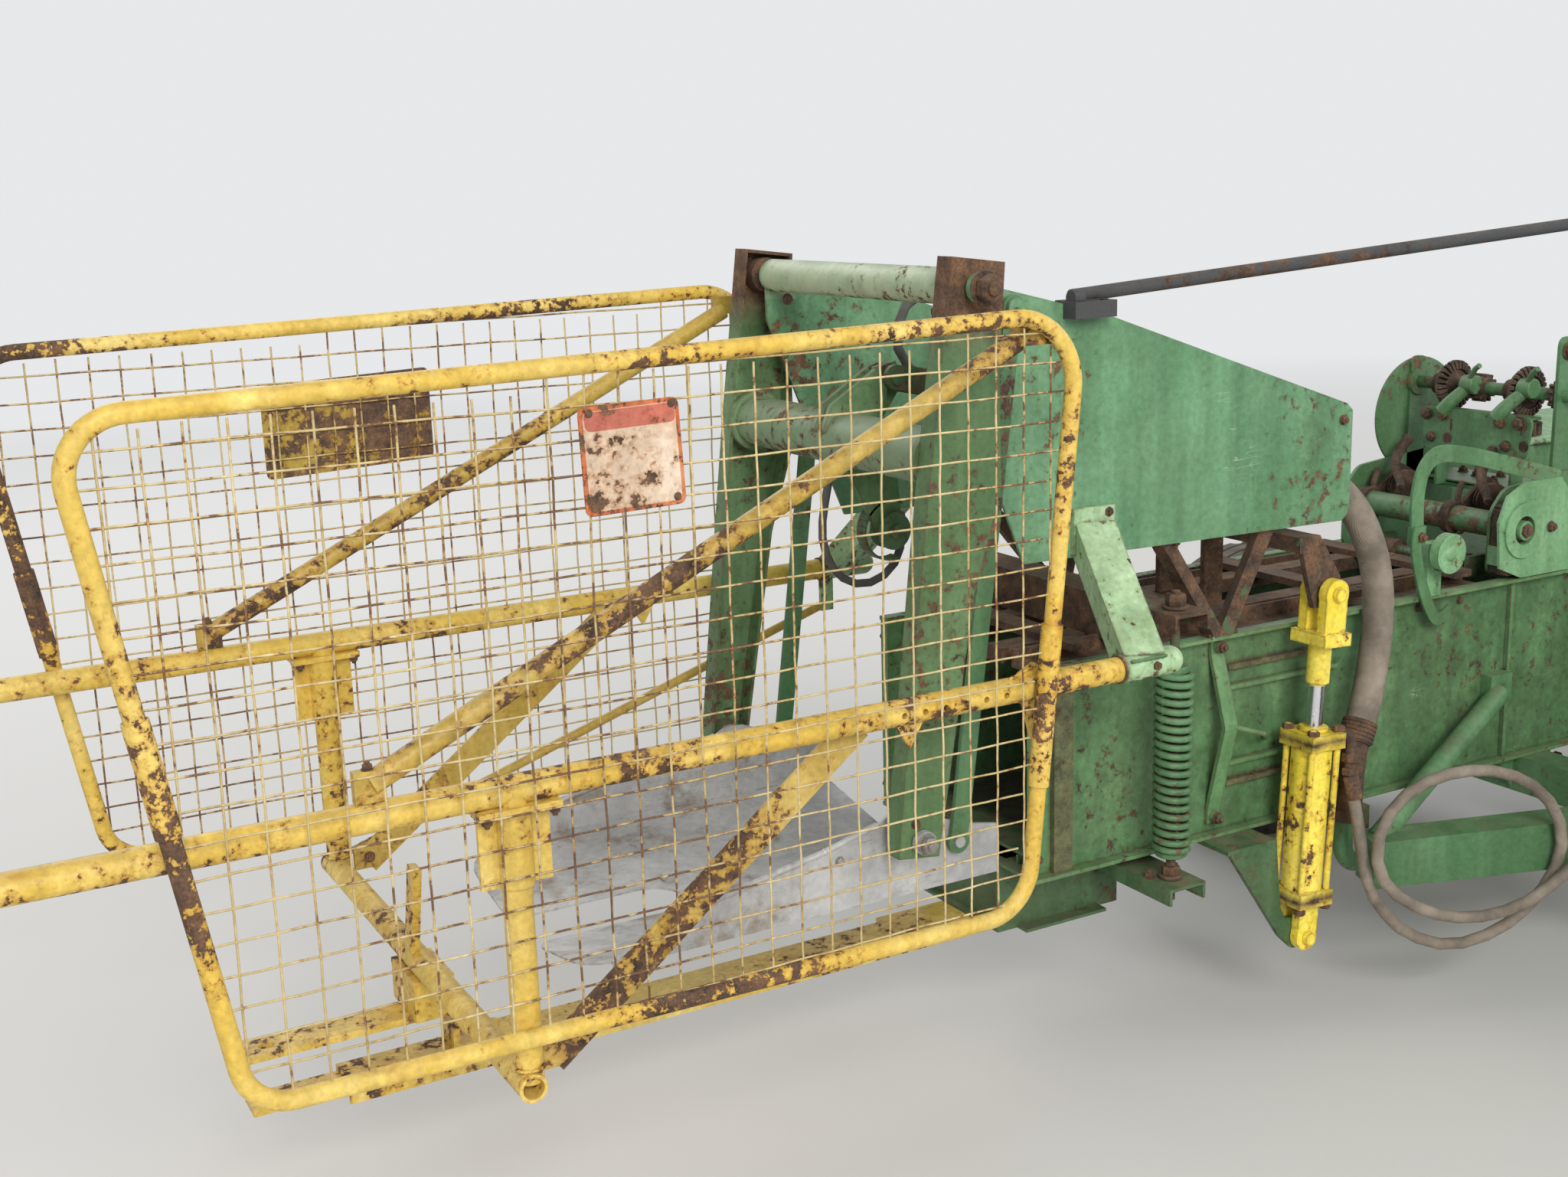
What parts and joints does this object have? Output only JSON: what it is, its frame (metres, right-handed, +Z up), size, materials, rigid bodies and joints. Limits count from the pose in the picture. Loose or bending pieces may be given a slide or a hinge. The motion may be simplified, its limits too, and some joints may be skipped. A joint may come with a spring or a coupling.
{
  "type": "small square baler with bale thrower",
  "caption": "Towed small square hay baler with a rear swinging-pan bale thrower between mesh side screens, side pickup, twine knotters, flywheel drive and a parking jack.",
  "frame": {"origin": "on the ground, under the centre of the bounding box", "axes": "+X to the front of the machine, +Y to its left, +Z up"},
  "size_m": [6.5949, 2.49, 1.605],
  "materials": {
    "green_paint": "weathered semi-gloss",
    "yellow_paint": "weathered semi-gloss with rust",
    "rusty_iron": "rusty matt",
    "galvanised": "galvanised",
    "dark_paint": "worn black",
    "chrome_rod": "polished",
    "tyre_rubber": "matt",
    "plate_paint": "faded"
  },
  "bodies": {
    "chassis": {"case_right": "green_paint", "case_left": "green_paint", "case_floor": "green_paint", "case_top": "green_paint", "rear_frame": "green_paint", "tension_spring": "green_paint", "side_plates": "green_paint", "plate_feet": "rusty_iron", "rail_brackets": "green_paint", "cage_rails": "yellow_paint", "cage_screens": "yellow_paint", "cage_mesh": "yellow_paint", "sign_plates": "plate_paint", "cage_braces": "yellow_paint", "wagon_hitch": "yellow_paint", "control_pipe": "dark_paint", "knotter_stand": "green_paint", "knotters": "rusty_iron", "knotter_guard": "green_paint", "needles": "rusty_iron", "axle": "green_paint", "feeder_housing": "green_paint", "feeder_frame": "green_paint", "gearcase": "green_paint", "drive_shield": "green_paint", "plunger": "rusty_iron", "tongue_hinge": "green_paint", "twine_box": "green_paint"},
    "tension_rails": {"tension_rails": "rusty_iron"},
    "tension_barrel": {"tension_barrel": "yellow_paint"},
    "tension_rod": {"tension_rod": "chrome_rod"},
    "swing_arms": {"swing_arms": "green_paint"},
    "pan_links": {"pan_links": "green_paint"},
    "pan": {"pan": "galvanised"},
    "throw_barrel": {"throw_barrel": "green_paint"},
    "throw_rod": {"throw_rod": "chrome_rod"},
    "left_wheel": {"left_rim": "yellow_paint", "left_tyre": "tyre_rubber"},
    "right_wheel": {"right_rim": "yellow_paint", "right_tyre": "tyre_rubber"},
    "auger": {"feeder_auger": "green_paint"},
    "pickup": {"pickup_frame": "green_paint", "pickup_bands": "green_paint", "gauge_bracket": "green_paint"},
    "reel": {"pickup_reel": "rusty_iron"},
    "wind_guard": {"wind_guard": "green_paint"},
    "gauge_wheel": {"gauge_wheel": "tyre_rubber"},
    "drive_line": {"flywheel": "green_paint", "drive_shaft": "yellow_paint"},
    "tongue": {"tongue": "green_paint", "shaft_prop": "green_paint", "jack_sleeve": "yellow_paint"},
    "jack_leg": {"jack_leg": "galvanised"},
    "twine_lid": {"twine_lid": "green_paint"}
  },
  "joints": [
    {"name": "tension_squeeze", "type": "hinge", "parent": "chassis", "child": "tension_rails", "pos_m": [-0.2075, 0.555, 0.812], "axis": [0, 1, 0], "range_deg": [-2.2, 1], "deforming": ["tension_spring"]},
    {"name": "tension_barrel_tilt", "type": "hinge", "parent": "chassis", "child": "tension_barrel", "pos_m": [-0.8675, 0.555, 0.195], "axis": [0, 1, 0], "range_deg": [-0.3, 0.2]},
    {"name": "tension_rod_slide", "type": "slide", "parent": "tension_barrel", "child": "tension_rod", "axis": [0.0574, 0, 0.9983], "range_m": [-0.03, 0.015]},
    {"name": "throw_swing", "type": "hinge", "parent": "chassis", "child": "swing_arms", "pos_m": [-1.6505, 0.555, 1.483], "axis": [0, 1, 0], "range_deg": [0, 60]},
    {"name": "link_swing", "type": "hinge", "parent": "chassis", "child": "pan_links", "pos_m": [-1.5405, 0.555, 1.443], "axis": [0, 1, 0], "range_deg": [-0.5, 60.5]},
    {"name": "pan_level", "type": "hinge", "parent": "swing_arms", "child": "pan", "pos_m": [-1.7665, 0.555, 0.589], "axis": [0, 1, 0], "range_deg": [-60.5, 0.5]},
    {"name": "throw_barrel_tilt", "type": "hinge", "parent": "chassis", "child": "throw_barrel", "pos_m": [-0.9725, 0.555, 1.175], "axis": [0, 1, 0], "range_deg": [-1, 1]},
    {"name": "throw_rod_slide", "type": "slide", "parent": "throw_barrel", "child": "throw_rod", "axis": [-0.9762, 0, 0.2171], "range_m": [-0.002, 0.1851]},
    {"name": "left_wheel_spin", "type": "hinge", "parent": "chassis", "child": "left_wheel", "pos_m": [-0.1175, 1.115, 0.365], "axis": [0, 1, 0], "continuous": true},
    {"name": "right_wheel_spin", "type": "hinge", "parent": "chassis", "child": "right_wheel", "pos_m": [-0.1175, -1.145, 0.365], "axis": [0, 1, 0], "continuous": true},
    {"name": "auger_spin", "type": "hinge", "parent": "chassis", "child": "auger", "pos_m": [0.5525, -0.395, 0.64], "axis": [0, 1, 0], "continuous": true},
    {"name": "pickup_lift", "type": "hinge", "parent": "chassis", "child": "pickup", "pos_m": [0.8925, -0.445, 0.47], "axis": [0, -1, 0], "range_deg": [0, 12]},
    {"name": "reel_spin", "type": "hinge", "parent": "pickup", "child": "reel", "pos_m": [1.1225, -0.445, 0.41], "axis": [0, 1, 0], "continuous": true},
    {"name": "wind_guard_lift", "type": "hinge", "parent": "pickup", "child": "wind_guard", "pos_m": [0.9025, -0.445, 0.76], "axis": [0, -1, 0], "range_deg": [0, 40]},
    {"name": "gauge_wheel_spin", "type": "hinge", "parent": "pickup", "child": "gauge_wheel", "pos_m": [1.2075, -1.207, 0.15], "axis": [0, 1, 0], "continuous": true},
    {"name": "drive_line_spin", "type": "hinge", "parent": "chassis", "child": "drive_line", "pos_m": [1.8625, 0.555, 0.8], "axis": [1, 0, 0], "continuous": true},
    {"name": "tongue_swing", "type": "hinge", "parent": "chassis", "child": "tongue", "pos_m": [1.2525, 0.555, 0.31], "axis": [0, 0, 1], "range_deg": [0, 24]},
    {"name": "jack_slide", "type": "slide", "parent": "tongue", "child": "jack_leg", "axis": [0, 0, 1], "range_m": [0, 0.2]},
    {"name": "twine_lid_open", "type": "hinge", "parent": "chassis", "child": "twine_lid", "pos_m": [0.7025, 0.805, 0.969], "axis": [1, 0, 0], "range_deg": [0, 100]}
  ],
  "couplings": [
    {"joint": "tension_barrel_tilt", "follows": "tension_squeeze", "ratio": 0.0372},
    {"joint": "tension_rod_slide", "follows": "tension_squeeze", "m_per_rad": 0.6235},
    {"joint": "link_swing", "follows": "throw_swing", "ratio": 1},
    {"joint": "pan_level", "follows": "throw_swing", "ratio": -1},
    {"joint": "throw_barrel_tilt", "follows": "throw_swing", "ratio": 0.0077},
    {"joint": "throw_rod_slide", "follows": "throw_swing", "m_per_rad": 0.1729}
  ]
}
